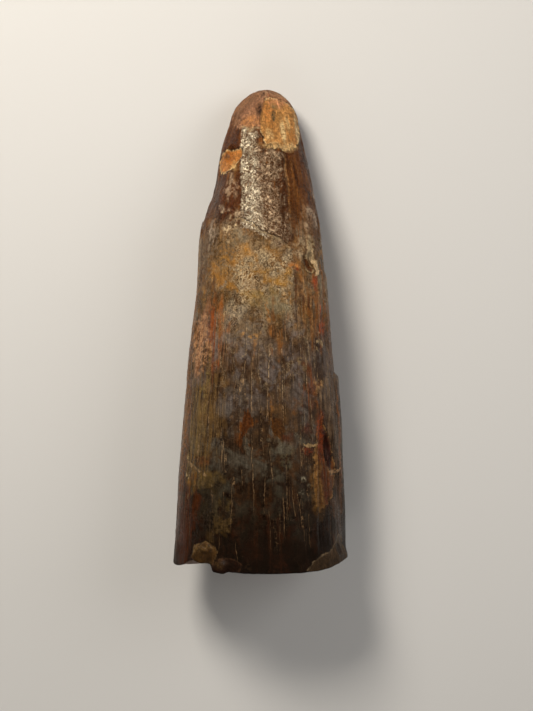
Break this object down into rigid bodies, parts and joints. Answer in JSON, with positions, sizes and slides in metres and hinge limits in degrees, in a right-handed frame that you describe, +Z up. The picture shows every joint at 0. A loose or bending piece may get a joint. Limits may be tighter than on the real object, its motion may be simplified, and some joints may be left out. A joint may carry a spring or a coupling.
{
  "type": "fossil pterosaur tooth",
  "caption": "Long, slender conical fossil tooth crown with a rounded worn tip, oval section and rough broken base, lying on its hollow side.",
  "frame": {"origin": "under the middle of the tooth's box, on the plane that it rests on", "axes": "+Y along the crown towards its tip, +Z up to the shown side, +X to the right of that side"},
  "size_m": [0.0136, 0.0378, 0.0103],
  "materials": {
    "fossil_enamel": "satin brown fossil enamel over dentine, glossy near the tip and with fine cracks along the crown"
  },
  "bodies": {
    "root": {"tooth": "fossil_enamel"}
  },
  "joints": []
}
